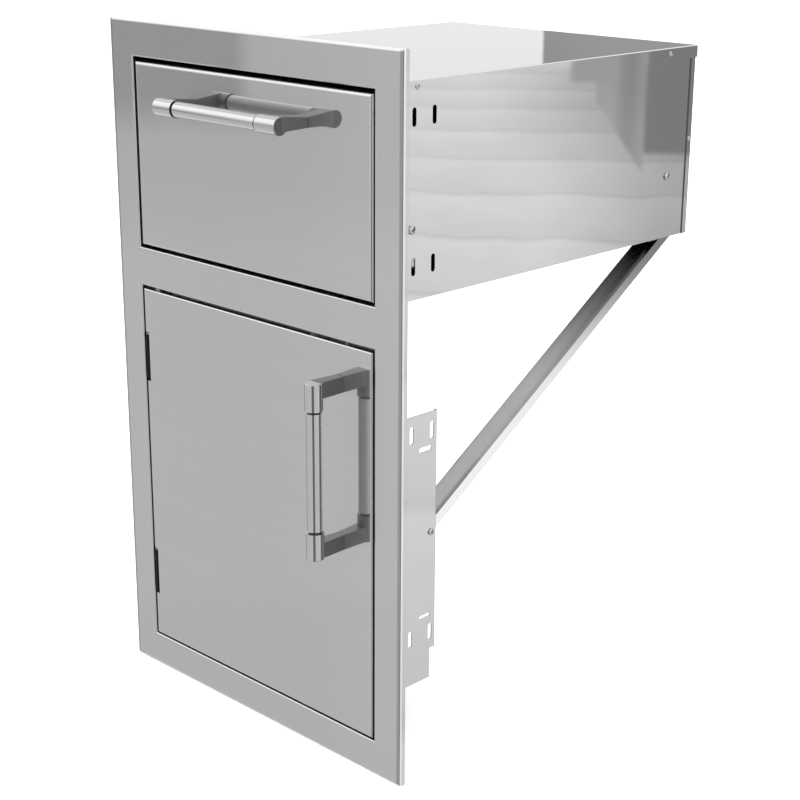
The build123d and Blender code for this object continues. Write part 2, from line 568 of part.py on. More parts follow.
def hinge_door_leaf(z):
    """The leaf welded to the door's left edge, with the middle knuckle."""
    span = knuckle_spans(z)[1]
    with BuildPart() as leaf:
        slab((-FRONT_X - LEAF, -FRONT_X), (-0.8, FRONT_BACK - 1), (z - LEAF_H / 2, z + LEAF_H / 2))
        slab((-FRONT_X - LEAF, -FRONT_X), (PIVOT_Y, 0), span)
        rod("Z", span, (PIVOT_X, PIVOT_Y, 0), BARREL_R)
        drill("Z", span, (PIVOT_X, PIVOT_Y, 0), PIN_R + PIN_FIT)
    return leaf


with BuildPart() as hinge_pins:
    for hinge_z in HINGE_Z.values():
        rod("Z", (hinge_z - LEAF_H / 2, hinge_z + LEAF_H / 2), (PIVOT_X, PIVOT_Y, 0), PIN_R)
        head = (hinge_z + LEAF_H / 2, hinge_z + LEAF_H / 2 + 1.5)
        rod("Z", head, (PIVOT_X, PIVOT_Y, 0), PIN_R + 0.9)

# ---------------------------------------------------------------- magnetic catch
with BuildPart() as catch_bracket:
    bracket_z = (CATCH_Z[1], CATCH_Z[1] + SHEET)
    slab((CATCH_X[0] - 4, CATCH_X[1] + 4), (0, CATCH_Y[1] + 4), bracket_z)
    for screw_x in (CATCH_X[0] + 6, CATCH_X[1] - 6):
        drill("Z", bracket_z, (screw_x, sum(CATCH_Y) / 2, 0), SCREW_R)

with BuildPart() as magnetic_catch_body:
    slab(CATCH_X, CATCH_Y, CATCH_Z)
    fillet(edges().filter_by(Axis.Z), 2)
    magnet_x = (CATCH_X[0] + 12, CATCH_X[1] - 12)
    pocket_z = (CATCH_Z[0] + 1.5, CATCH_Z[0] + 10.5)
    slab(magnet_x, (CATCH_Y[0] - 1, CATCH_Y[1] - 3), pocket_z, mode=Mode.SUBTRACT)
    for screw_x in (CATCH_X[0] + 6, CATCH_X[1] - 6):
        drill("Z", CATCH_Z, (screw_x, sum(CATCH_Y) / 2, 0), SCREW_R)

with BuildPart() as catch_magnet:
    slab(magnet_x, (CATCH_Y[0] + 0.5, CATCH_Y[1] - 3), (CATCH_Z[0] + 3, CATCH_Z[0] + 9))

with BuildPart() as catch_pole_plates:
    for pole_z in (CATCH_Z[0] + 1.5, CATCH_Z[0] + 9):
        slab(magnet_x, (POLE_FRONT, CATCH_Y[1] - 3), (pole_z, pole_z + 1.5))

with BuildPart() as catch_screws:
    for screw_x in (CATCH_X[0] + 6, CATCH_X[1] - 6):
        at = (screw_x, sum(CATCH_Y) / 2, 0)
        rod("Z", (CATCH_Z[0], CATCH_Z[1] + SHEET + 2), at, SCREW_R)
        rod("Z", (CATCH_Z[0] - SCREW_HEAD_H, CATCH_Z[0]), at, SCREW_HEAD_R)
    fillet(edges().group_by(Axis.Z)[0], 0.8)

# ---------------------------------------------------------------- left-hand pieces and the hand-in
right_hand = {
    "door_jamb": door_jamb_right,
    "housing_side": housing_side_right,
    "brace": brace_right,
    "slide_outer": slide_outer_right,
    "slide_middle": slide_middle_right,
    "slide_inner": slide_inner_right,
    "outer_ball_cage": outer_ball_cage_right,
    "inner_ball_cage": inner_ball_cage_right,
    "outer_balls": outer_balls_right,
    "inner_balls": inner_balls_right,
}
pieces = {
    "face_frame": face_frame,
    "door_stop_tabs": door_stop_tabs,
    "door_bumpers": door_bumpers,
    "housing_bottom_panel": housing_bottom_panel,
    "housing_back_panel": housing_back_panel,
    "housing_top_cover": housing_top_cover,
    "housing_rivets": housing_rivets,
    "brace_screws": brace_screws,
    "brace_nuts": brace_nuts,
    "slide_stop_bumpers": slide_stop_bumpers,
    "slide_mount_screws": slide_mount_screws,
    "drawer_front_panel": drawer_front_panel,
    "drawer_front_liner": drawer_front_liner,
    "drawer_tray": drawer_tray,
    "drawer_tray_front": drawer_tray_front,
    "drawer_tray_back": drawer_tray_back,
    "drawer_front_screws": drawer_front_screws,
    "drawer_slide_screws": drawer_slide_screws,
    "drawer_handle_tube": handle_tube(DRAWER_HANDLE),
    "drawer_handle_ends": handle_ends(DRAWER_HANDLE),
    "drawer_handle_screws": handle_screws(DRAWER_HANDLE),
    "door_outer_panel": door_outer_panel,
    "door_inner_panel": door_inner_panel,
    "door_strike_plate": door_strike_plate,
    "door_handle_tube": handle_tube(DOOR_HANDLE),
    "door_handle_ends": handle_ends(DOOR_HANDLE),
    "door_handle_screws": handle_screws(DOOR_HANDLE),
    "hinge_pins": hinge_pins,
    "catch_bracket": catch_bracket,
    "magnetic_catch_body": magnetic_catch_body,
    "catch_magnet": catch_magnet,
    "catch_pole_plates": catch_pole_plates,
    "catch_screws": catch_screws,
}
for place, hinge_z in HINGE_Z.items():
    pieces[f"hinge_frame_leaf_{place}"] = hinge_frame_leaf(hinge_z)
    pieces[f"hinge_door_leaf_{place}"] = hinge_door_leaf(hinge_z)
for label, right in right_hand.items():
    pieces[f"{label}_right"] = right
    with BuildPart() as left:
        mirror(right.part, about=Plane.YZ)
    pieces[f"{label}_left"] = left

os.makedirs("parts", exist_ok=True)
for label, piece in pieces.items():
    piece.part.label = label
    export_step(piece.part, f"parts/{label}.step")
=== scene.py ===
import itertools
import json
import math

import bmesh
import bpy
from mathutils import Matrix, Vector


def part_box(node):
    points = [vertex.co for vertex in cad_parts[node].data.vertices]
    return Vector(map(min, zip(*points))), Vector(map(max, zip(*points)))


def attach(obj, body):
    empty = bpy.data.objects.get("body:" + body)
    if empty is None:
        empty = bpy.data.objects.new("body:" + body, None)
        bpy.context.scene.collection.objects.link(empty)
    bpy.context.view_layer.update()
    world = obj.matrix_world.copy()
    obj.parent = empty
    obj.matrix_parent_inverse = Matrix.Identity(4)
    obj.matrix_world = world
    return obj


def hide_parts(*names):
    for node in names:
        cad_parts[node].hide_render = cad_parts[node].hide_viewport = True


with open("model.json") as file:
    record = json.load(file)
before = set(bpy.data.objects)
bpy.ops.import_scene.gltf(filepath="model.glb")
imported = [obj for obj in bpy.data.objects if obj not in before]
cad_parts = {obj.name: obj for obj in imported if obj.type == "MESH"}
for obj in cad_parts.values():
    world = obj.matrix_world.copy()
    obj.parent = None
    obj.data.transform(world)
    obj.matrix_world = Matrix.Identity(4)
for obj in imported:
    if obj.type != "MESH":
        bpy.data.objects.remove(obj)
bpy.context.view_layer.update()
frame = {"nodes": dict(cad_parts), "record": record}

scene = bpy.context.scene
nodes = frame["nodes"]


def middle(node, axis):
    """The middle of a CAD node's box along an axis (0 to 2), to 0.1 mm."""
    return round(sum(corner[axis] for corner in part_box(node)) / 2, 4)


# Everything is in metres. These places are read from the CAD.
FACE_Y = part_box("face_frame")[0][1]
EDGE_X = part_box("face_frame")[1][0]
BRACE_OUT_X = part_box("brace_right")[1][0]
BAR_Y = middle("drawer_handle_tube", 1)
DRAWER_BAR_X = middle("drawer_handle_tube", 0)
DOOR_BAR_Z = middle("door_handle_tube", 2)
BAR_GAP = 0.0023         # from the end of a handle's tube to its collar
GAP_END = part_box("drawer_handle_tube")[1][0] - DRAWER_BAR_X + BAR_GAP
BACK_FROM, BACK_TO = 0.0010, 0.0045      # behind a bar's axis, where painted shade darkens its back


# ---------------------------------------------------------------- node graphs
class Graph:
    """Builds a shader graph from plain expressions."""

    def __init__(self, tree):
        self.tree = tree
        tree.nodes.clear()

    def node(self, kind, inputs=None, **settings):
        made = self.tree.nodes.new(kind)
        for key, value in settings.items():
            setattr(made, key, value)
        for key, value in (inputs or {}).items():
            self.put(value, made.inputs[key])
        return made

    def put(self, value, socket):
        if isinstance(value, Wire):
            self.tree.links.new(value.socket, socket)
        elif isinstance(value, bpy.types.NodeSocket):
            self.tree.links.new(value, socket)
        else:
            socket.default_value = value

    def wire(self, socket):
        return Wire(self, socket)

    def math(self, operation, *values):
        made = self.tree.nodes.new("ShaderNodeMath")
        made.operation = operation
        for value, socket in zip(values, made.inputs):
            self.put(value, socket)
        return Wire(self, made.outputs[0])

    def ramp(self, value, low, high, start=0.0, end=1.0):
        """A smooth step from start to end while value goes from low to high."""
        made = self.node("ShaderNodeMapRange", interpolation_type="SMOOTHSTEP")
        for key, item in ((0, value), (1, low), (2, high), (3, start), (4, end)):
            self.put(item, made.inputs[key])
        return Wire(self, made.outputs[0])

    def band(self, value, low, high, soft):
        """1 between low and high, fading to 0 over soft on either side."""
        rise = self.ramp(value, low - soft, low + soft)
        return rise * self.ramp(value, high - soft, high + soft, 1.0, 0.0)


class Wire:
    """One value in a graph, which can be added, multiplied and so on."""

    def __init__(self, graph, socket):
        self.graph, self.socket = graph, socket

    def __add__(self, other):
        return self.graph.math("ADD", self, other)

    def __sub__(self, other):
        return self.graph.math("SUBTRACT", self, other)

    def __mul__(self, other):
        return self.graph.math("MULTIPLY", self, other)

    def __truediv__(self, other):
        return self.graph.math("DIVIDE", self, other)

    def toward(self, target, share):
        """This value moved to target by a share between 0 and 1."""
        return self * (share * -1.0 + 1.0) + share * target


def material(name):
    """A new material, and the graph to fill."""
    made = bpy.data.materials.new(name)
    made.use_nodes = True
    return made, Graph(made.node_tree)


def noise(g, scale, detail=2.0, rough=0.5, stretch=(1, 1, 1), shift=(0, 0, 0)):
    """A noise value in the object's own metres, drawn out along an axis by stretch."""
    place = g.node("ShaderNodeTexCoord")
    mapping = g.node("ShaderNodeMapping", {"Vector": place.outputs["Object"], "Location": shift,
                                           "Scale": stretch})
    made = g.node("ShaderNodeTexNoise", {"Vector": mapping.outputs[0], "Scale": scale,
                                         "Detail": detail, "Roughness": rough})
    return g.wire(made.outputs["Fac"])


GRAIN = {"X": (0.02, 1, 1), "Y": (1, 0.02, 1), "Z": (1, 1, 0.02)}
ALONG = {"X": (1, 0, 0), "Y": (0, 1, 0), "Z": (0, 0, 1)}
BRUSH_SCALE, STREAK_SCALE, CLOUD_SCALE, WAVE_SCALE = 1500, 90, 5, 7
BRUSH_DEPTH = 0.000004
HAZE_ROUGHNESS = 0.42


def steel(name, tone, rough, along, grain=0.03, wave=0.00010, haze=0.0, painted_shading=None):
    """Stainless steel: fine brush lines along one axis, faint streaks, and a slight waviness.

    grain is how strongly the brush lines show, and wave the height of the waviness.
    haze is the share of the light that is scattered widely round the sharp reflection.
    The shading function, if given, paints light and shade by place: from a graph and the place on the object
    it gives (tone factor, added roughness, matt share).
    """
    made, g = material(name)
    factor, dull, matt = 1.0, 0.0, 0.0
    # light and shade painted into the tone by place, where a shading function is given
    if painted_shading:
        place = g.node("ShaderNodeTexCoord")
        split = g.node("ShaderNodeSeparateXYZ", {0: place.outputs["Object"]})
        factor, dull, matt = painted_shading(g, *[g.wire(split.outputs[i]) for i in range(3)])
    fine = noise(g, BRUSH_SCALE, 2, 0.6, GRAIN[along])
    streak = noise(g, STREAK_SCALE, 3, 0.55, GRAIN[along], (3.1, 1.7, 0.4))
    cloud = noise(g, CLOUD_SCALE, 2, 0.5, (1, 1, 1), (0.3, 2.2, 5.1))
    shade = (fine - 0.5) * grain + (streak - 0.5) * (grain * 1.2) + (cloud - 0.5) * 0.04 + 1.0
    shade = shade * tone * factor
    colour = g.node("ShaderNodeCombineColor", {0: shade, 1: shade, 2: shade})
    roughness = (streak - 0.5) * (rough * 0.5) + (cloud - 0.5) * (rough * 0.5) + rough + dull
    swell = noise(g, WAVE_SCALE, 1, 0.4, (1, 1, 1), (7.7, 0.9, 2.5))
    waviness = g.node("ShaderNodeBump", {"Height": swell, "Strength": 1.0, "Distance": wave})
    lines = g.node("ShaderNodeBump", {"Height": fine, "Strength": 0.25, "Distance": BRUSH_DEPTH,
                                      "Normal": waviness.outputs[0]})
    tangent = g.node("ShaderNodeVectorTransform", {0: ALONG[along]}, vector_type="VECTOR",
                     convert_from="OBJECT", convert_to="WORLD")
    metallic = matt * -1.0 + 1.0 if isinstance(matt, Wire) else 1.0
    sharp = g.node("ShaderNodeBsdfPrincipled", {
        "Base Color": colour.outputs[0], "Metallic": metallic, "Roughness": roughness,
        "Anisotropic": 0.3, "Normal": lines.outputs[0], "Tangent": tangent.outputs[0]})
    broad = g.node("ShaderNodeBsdfPrincipled", {
        "Base Color": colour.outputs[0], "Metallic": 1.0, "Roughness": HAZE_ROUGHNESS,
        "Anisotropic": 0.5, "Normal": lines.outputs[0], "Tangent": tangent.outputs[0]})
    shader = g.node("ShaderNodeMixShader", {0: haze, 1: sharp.outputs[0], 2: broad.outputs[0]})
    g.node("ShaderNodeOutputMaterial", {"Surface": shader.outputs[0]})
    return made


def coated(name, colour, rough, metallic=0.0, bump=0.0, scale=400.0, variation=0.12):
    """Plating, rubber or plastic: mottled colour and roughness, with a fine surface texture."""
    made, g = material(name)
    spots = noise(g, scale, 4, 0.6)
    cloud = noise(g, 40, 3, 0.5, (1, 1, 1), (1.3, 4.2, 0.6))
    shade = (spots - 0.5) * variation + (cloud - 0.5) * variation + 1.0
    tinted = g.node("ShaderNodeCombineColor", {i: shade * c for i, c in enumerate(colour)})
    texture = g.node("ShaderNodeBump", {"Height": spots, "Strength": 0.6, "Distance": bump})
    shader = g.node("ShaderNodeBsdfPrincipled", {
        "Base Color": tinted.outputs[0], "Metallic": metallic,
        "Roughness": (spots - 0.5) * 0.12 + (cloud - 0.5) * 0.1 + rough,
        "Normal": texture.outputs[0]})
    g.node("ShaderNodeOutputMaterial", {"Surface": shader.outputs[0]})
    return made


def bar_painted_shade(depth, matt, along=None, centre=0.0):
    """Painted shade on the back of a handle bar, which only ever sees the front: darker by depth and duller
    by matt.

    Given the axis the bar runs along (0 to 2) and its centre, the gap between tube and collar is
    painted near black as well, as painted shade.
    """
    def painted_shading(g, *place):
        # painted shade: the back of the bar is darker and duller
        back = g.ramp(place[1], BAR_Y + BACK_FROM, BAR_Y + BACK_TO)
        factor = back * -depth + 1.0
        if along is not None:
            # painted shade: the gap between tube and collar is painted near black
            distance = g.math("ABSOLUTE", place[along] - centre)
            gap = g.ramp(distance, GAP_END, GAP_END + 0.0001, 1.0, 0.0)
            factor = factor * (gap * -0.93 + 1.0)
        return factor, back * 0.40, back * matt
    return painted_shading


def brace_painted_light(g, x, y, z):
    """Painted light on the braces: painted shade darkens them towards the housing above (lower down they are
    painted a little brighter), and a painted highlight brightens their outside faces.
    """
    # painted highlight on the braces' outside faces
    painted_outer_highlight = g.ramp(g.math("ABSOLUTE", x), BRACE_OUT_X - 0.0008, BRACE_OUT_X - 0.0004, 1.0, 1.30)
    # painted shade, darker towards the housing above
    height = g.ramp(z, 0.36, 0.49, 1.20, 0.36)
    dull = g.ramp(z, 0.30, 0.48, 0.0, 0.12)
    return height * painted_outer_highlight, dull, 0.0


def frame_painted_light(g, x, y, z):
    """Painted shade darkens the face frame's upright edges just before they roll back, and a painted
    highlight brightens them on the roll.
    """
    rolling = g.ramp(y, FACE_Y + 0.0004, FACE_Y + 0.0012)
    # painted shade on the face just before the upright edges roll back
    painted_edge_shade = g.ramp(g.math("ABSOLUTE", x), EDGE_X - 0.0060, EDGE_X - 0.0035) * (rolling * -1.0 + 1.0)
    # painted highlight on the roll
    roll = rolling * g.ramp(y, FACE_Y + 0.0020, FACE_Y + 0.0032, 1.0, 0.0)
    return (painted_edge_shade * -0.36 + 1.0) * (roll * 0.60 + 1.0), painted_edge_shade * 0.10, 0.0


def handle_steel(name, along, painted_shading):
    """The handles' steel, with fainter brush lines and no waviness."""
    return steel(name, 0.57, 0.05, along, grain=0.02, wave=0.0, painted_shading=painted_shading)


looks = {
    # the face frame's painted shade and painted highlight come from its shading function
    "frame_steel": steel("frame_sheet", 0.60, 0.03, "Z", wave=0.00003, haze=0.18, painted_shading=frame_painted_light),
    "front_steel": steel("front_sheet", 0.60, 0.02, "X", wave=0.00003, haze=0.18),
    "housing_steel": steel("housing_sheet", 0.61, 0.02, "Y", wave=0.00004),
    "bracket_steel": steel("bracket_sheet", 0.60, 0.05, "Z", wave=0.00005, haze=0.1),
    "liner_steel": steel("liner_sheet", 0.58, 0.12, "X", wave=0.00016, haze=0.2),
    "fastener_steel": steel("fastener_metal", 0.55, 0.15, "X", wave=0.0),
    # painted reflection: the hinges' steel is coloured near black for the dark reflections it shows
    "hinge_steel": coated("hinge_painted_dark", (0.02, 0.02, 0.022), 0.45, 1.0, 0.00002, 700, 0.2),
    "slide_steel": coated("zinc_plate", (0.60, 0.61, 0.64), 0.30, 1.0, 0.00002, 700, 0.16),
    "cage_steel": coated("yellow_zinc", (0.62, 0.55, 0.36), 0.32, 1.0, 0.00002, 700, 0.22),
    "ball_steel": steel("ball_metal", 0.70, 0.08, "Y", wave=0.0),
    "bumper_rubber": coated("rubber", (0.025, 0.025, 0.026), 0.75, 0.0, 0.00010, 900, 0.4),
    "catch_plastic": coated("catch_plastic", (0.62, 0.62, 0.60), 0.45, 0.0, 0.00005, 1200, 0.08),
    "magnet_ferrite": coated("ferrite", (0.05, 0.05, 0.055), 0.6, 0.2, 0.00006, 900, 0.4),
}
# the handles and braces get painted shade (the braces also a painted highlight) from their shading functions
special = {
    "drawer_handle_tube": handle_steel("drawer_tube", "X", bar_painted_shade(0.0, 0.55)),
    "drawer_handle_ends": handle_steel("drawer_ends", "X", bar_painted_shade(0.50, 0.0, 0, DRAWER_BAR_X)),
    "door_handle_tube": handle_steel("door_tube", "Z", bar_painted_shade(0.0, 0.55)),
    "door_handle_ends": handle_steel("door_ends", "Z", bar_painted_shade(0.50, 0.0, 2, DOOR_BAR_Z)),
    "brace_right": steel("brace_sheet", 0.58, 0.16, "Z", 0.04, 0.00005, 0.1, brace_painted_light),
}
special["brace_left"] = special["brace_right"]

slot_of = {s["node"]: s["material_slot"] for s in frame["record"]["subparts"]}
for name, obj in nodes.items():
    obj.data.materials.clear()
    obj.data.materials.append(special[name] if name in special else looks[slot_of[name]])

# ---------------------------------------------------------------- fasteners
SEGMENTS = 40            # round a turned piece
DOME_STEPS = 6           # from a head's rim to its crown
THREAD_PITCH = 0.0014
THREAD_ROOT = 0.86       # share of the shank's radius

# pan-head screws: radius and height of the head, radius of the shank
SMALL_SCREW = (0.0036, 0.0020, 0.0020)
HOUSING_SCREW = (0.0044, 0.0028, 0.0020)
HANDLE_SCREW = (0.0045, 0.0025, 0.0025)
# the cross recess: arm and width as shares of the head's radius, depth of its height
CROSS_ARM, CROSS_WIDTH, CROSS_DEPTH = 0.62, 0.26, 0.55

# blind rivets: radius and height of the head, radius and length of the shank
RIVET_HEAD_R, RIVET_HEAD_H, RIVET_R, RIVET_L = 0.0028, 0.0012, 0.0016, 0.0034

# lengths below the head, and places that the boxes of their CAD nodes don't give
SLIDE_SCREW_L, TRAY_SCREW_L, BRACE_FOOT_L, BRACE_TOP_L = 0.0024, 0.0022, 0.0092, 0.0075
RIVET_PLACES = ((0.0452, 0.6995), (0.4425, 0.6995), (0.4855, 0.6030))      # y and z, on both sides
BRACE_FOOT = (0.0715, 0.2475)                                              # y and z, on both sides
BRACE_TOP = (0.1686, 0.4380, 0.4937)                                       # x, y and z on the right


def lathe(shell, profile):
    """Turns a profile of (radius, distance) points about the local Z axis, ends closed."""
    turn = [2 * math.pi * i / SEGMENTS for i in range(SEGMENTS)]
    rings = []
    for radius, along in profile:
        if radius == 0:
            rings.append([shell.verts.new((0, 0, along))])
        else:
            circle = [(radius * math.cos(t), radius * math.sin(t), along) for t in turn]
            rings.append([shell.verts.new(point) for point in circle])
    for one, two in zip(rings, rings[1:]):
        for i in range(SEGMENTS):
            j = (i + 1) % SEGMENTS
            if len(one) == 1:
                shell.faces.new((one[0], two[i], two[j]))
            elif len(two) == 1:
                shell.faces.new((one[i], two[0], one[j]))
            else:
                shell.faces.new((one[i], two[i], two[j], one[j]))


def closed_mesh(name, shell, smooth):
    """The bmesh as a mesh, its faces turned outwards."""
    bmesh.ops.recalc_face_normals(shell, faces=shell.faces)
    for face in shell.faces:
        face.smooth = smooth
    mesh = bpy.data.meshes.new(name)
    shell.to_mesh(mesh)
    shell.free()
    return mesh


def screw_mesh(name, head_r, head_h, shank_r, shank_l):
    """A pan-head screw pointing along -Z, its head standing on Z = 0."""
    rim = head_h * 0.45
    root = shank_r * THREAD_ROOT
    angles = [math.pi / 2 * i / DOME_STEPS for i in range(DOME_STEPS)]
    dome = [(head_r * math.cos(t), rim + (head_h - rim) * math.sin(t)) for t in angles]
    crown = [(head_r * 0.30, head_h * 0.995), (0, head_h)]
    turns = max(2, int(shank_l / THREAD_PITCH))
    pitch = shank_l / turns
    thread = []
    for i in range(turns):
        start = -shank_l + shank_l * i / turns
        thread += [(root, start + pitch * 0.1), (shank_r, start + pitch * 0.5), (root, start + pitch * 0.9)]
    shell = bmesh.new()
    lathe(shell, [(0, -shank_l)] + thread + [(root, 0), (head_r * 0.97, 0)] + dome + crown)
    return closed_mesh(name, shell, smooth=True)


def rivet_mesh():
    """A blind rivet: a domed head with the broken mandrel sunk in its middle, and an upset tail."""
    well, pin = RIVET_HEAD_R * 0.42, RIVET_HEAD_R * 0.32
    angles = [math.pi / 2 * i / DOME_STEPS for i in range(DOME_STEPS + 1)]
    dome = [(well + (RIVET_HEAD_R - well) * math.cos(t), RIVET_HEAD_H * (0.2 + 0.8 * math.sin(t)))
            for t in angles]
    mandrel = [(well * 0.98, RIVET_HEAD_H * 0.35), (pin, RIVET_HEAD_H * 0.35),
               (pin * 0.9, RIVET_HEAD_H * 0.7), (0, RIVET_HEAD_H * 0.75)]
    tail = [(0, -RIVET_L), (RIVET_R * 1.3, -RIVET_L), (RIVET_R * 1.4, -RIVET_L + 0.0006),
            (RIVET_R, -RIVET_L + 0.001)]
    shell = bmesh.new()
    lathe(shell, tail + [(RIVET_R, 0), (RIVET_HEAD_R, 0)] + dome + mandrel)
    return closed_mesh("rivet", shell, smooth=True)


def cross_mesh(name, arm, width, depth):
    """A plus-shaped block, narrower towards its tip, cut from a screw head to leave its recess."""
    shell = bmesh.new()
    w = width / 2
    plan = []
    for x, y in ((1, 0), (0, 1), (-1, 0), (0, -1)):
        for side in (-w, w):
            plan.append((x * arm - y * side, y * arm + x * side))
        plan.append((x * w - y * w, y * w + x * w))
    low = [shell.verts.new((x * 0.45, y * 0.45, -depth)) for x, y in plan]
    high = [shell.verts.new((x, y, depth)) for x, y in plan]
    shell.faces.new(low)
    shell.faces.new(high)
    for i in range(len(plan)):
        j = (i + 1) % len(plan)
        shell.faces.new((low[i], high[i], high[j], low[j]))
    return closed_mesh(name, shell, smooth=False)


def recessed(mesh, cutter, head_h):
    """The mesh with the cutter taken out of the top of its head."""
    head = bpy.data.objects.new("head", mesh)
    tool = bpy.data.objects.new("tool", cutter)
    tool.location.z = head_h
    scene.collection.objects.link(head)
    scene.collection.objects.link(tool)
    cut = head.modifiers.new("recess", "BOOLEAN")
    cut.operation = "DIFFERENCE"
    cut.solver = "EXACT"
    cut.object = tool
    graph = bpy.context.evaluated_depsgraph_get()
    result = bpy.data.meshes.new_from_object(head.evaluated_get(graph))
    bpy.data.objects.remove(head)
    bpy.data.objects.remove(tool)
    return result


def fasteners(node, body, meshes, heads):
    """One piece for a CAD node: each mesh with its head at a (place, direction it faces)."""
    joined = bmesh.new()
    for mesh, (place, way) in zip(meshes, heads):
        turn = Vector(way).to_track_quat("Z", "Y").to_matrix().to_4x4()
        moved = mesh.copy()
        moved.transform(Matrix.Translation(place) @ turn)
        joined.from_mesh(moved)
        bpy.data.meshes.remove(moved)
    out = bpy.data.meshes.new(node + "_shape")
    joined.to_mesh(out)
    joined.free()
    out.materials.clear()
    out.materials.append(looks["fastener_steel"])
    made = bpy.data.objects.new(node + "_detail", out)
    scene.collection.objects.link(made)
    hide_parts(node)
    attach(made, body)


def pan_screws(node, body, size, heads, lengths):
    """Pan-head screws for a CAD node; lengths gives each one's length below its head."""
    head_r, head_h, shank_r = size
    cutter = cross_mesh(node + "_cross", head_r * CROSS_ARM, head_r * CROSS_WIDTH, head_h * CROSS_DEPTH)
    shapes = {}
    for length in lengths:
        if length not in shapes:
            plain = screw_mesh(node, head_r, head_h, shank_r, length)
            shapes[length] = recessed(plain, cutter, head_h)
    fasteners(node, body, [shapes[length] for length in lengths], heads)


def corners(node, head_r, axes):
    """Along each of the axes, where a CAD node's outermost heads are, from its box, to 0.1 mm."""
    found = []
    for axis in axes:
        low, high = [corner[axis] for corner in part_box(node)]
        ends = [low + head_r, high - head_r] if high - low > 2.1 * head_r else [(low + high) / 2]
        found.append([round(end, 4) for end in ends])
    return found


def straight_screws(node, body, size, axis, side):
    """Screws that all face one way: the four or two corners of a CAD node's box."""
    head_r, head_h, _ = size
    low, high = [corner[axis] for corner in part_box(node)]
    seat = (high if side > 0 else low) - side * head_h
    spread = corners(node, head_r, range(3))
    spread[axis] = [round(seat, 4)]
    way = [0, 0, 0]
    way[axis] = side
    heads = [(place, way) for place in itertools.product(*spread)]
    pan_screws(node, body, size, heads, [round(high - low - head_h, 4)] * len(heads))


def both_sides(places, side=1):
    """Heads at the places on the right, facing outwards or with side -1 inwards, and their mirror images."""
    return [((half * x, y, z), (half * side, 0, 0)) for half in (1, -1) for x, y, z in places]


def build_fasteners():
    """Every screw and rivet that shows, where the CAD has it."""
    side_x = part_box("housing_side_right")[1][0]
    cover_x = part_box("housing_top_cover")[1][0]

    slide_y, slide_z = corners("slide_mount_screws", HOUSING_SCREW[0], (1, 2))
    heads = both_sides([(side_x, y, slide_z[0]) for y in slide_y])
    pan_screws("slide_mount_screws", "frame", HOUSING_SCREW, heads, [SLIDE_SCREW_L] * len(heads))

    heads = both_sides([(cover_x, y, z) for y, z in RIVET_PLACES])
    fasteners("housing_rivets", "frame", [rivet_mesh()] * len(heads), heads)

    y, z = BRACE_FOOT
    heads = both_sides([(side_x, y, z)])
    x, y, z = BRACE_TOP
    heads += [((half * x, y, z), (0, 0, -1)) for half in (1, -1)]
    lengths = [BRACE_FOOT_L] * 2 + [BRACE_TOP_L] * 2
    pan_screws("brace_screws", "frame", SMALL_SCREW, heads, lengths)

    straight_screws("drawer_front_screws", "drawer", SMALL_SCREW, 1, 1)

    tray_y, tray_z = corners("drawer_slide_screws", SMALL_SCREW[0], (1, 2))
    tray_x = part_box("drawer_slide_screws")[1][0] - TRAY_SCREW_L
    heads = both_sides([(tray_x, y, tray_z[0]) for y in tray_y], -1)
    pan_screws("drawer_slide_screws", "drawer", SMALL_SCREW, heads, [TRAY_SCREW_L] * len(heads))

    straight_screws("drawer_handle_screws", "drawer", HANDLE_SCREW, 1, 1)
    straight_screws("door_handle_screws", "door", HANDLE_SCREW, 1, 1)
    straight_screws("catch_screws", "frame", SMALL_SCREW, 2, -1)


build_fasteners()

# ---------------------------------------------------------------- studio
LAMP_AIM, LAMP_SIZE = (0, 0.2, 0.3), 2.5
CAMERA_PLACE = (1.270449, -1.089418, 0.901905)
CAMERA_TURN = (0.7730206, 0.3123763, 0.0058434)      # azimuth, elevation and roll in radians
LENS_MM, SENSOR_MM = 75.70935, 36.0
DOME_R = 60.0

# The room that the steel reflects is painted by direction. az is in degrees from straight back
# (+Y) towards +X, and el in degrees above the horizon. Each tone is a strength of light.
BOARD_START, BOARD_PITCH = 4.79, 0.74    # floor boards, as distances over the eye's height
SCREENS_FROM = 36.03                     # az at which the end wall meets the folded screens


def room_floor(g, glow, az, el):
    """The floor to the right and behind: evenly spaced boards, brightest at their near edges."""
    down = g.math("MAXIMUM", el * (-math.pi / 180), 0.06)
    distance = g.math("DIVIDE", 1.0, g.math("TANGENT", down))
    bow = noise(g, 0.35, 2, 0.5, (1, 1, 0.2))
    smudge = noise(g, 0.6, 3, 0.55, (1, 1, 2.5), (4, 9, 2))
    board = g.math("FRACT", (distance + (bow - 0.5) * 0.22 - BOARD_START) / BOARD_PITCH)
    joint = g.ramp(g.math("ABSOLUTE", board - 0.5), 0.43, 0.49)
    tone = (board * 0.11 + 0.89 - joint * 0.10) * g.ramp(el, -31, -17, 0.90, 1.0)
    tone = tone * g.ramp(az, 34.2, 39.8, 0.68, 1.10) * g.ramp(az, 58, 80, 1.0, 0.80)
    tone = tone * ((smudge - 0.5) * 0.12 + 1.0)
    shadow_by_the_screens = g.ramp(az, 42, 38) * g.ramp(el, -10.5, -7.0)
    tone = tone * (shadow_by_the_screens * -0.25 + 1.0)
    floor = g.band(az, -60, 118, 2.0) * g.ramp(el, -5.6, -6.3)
    return glow.toward(tone, floor)


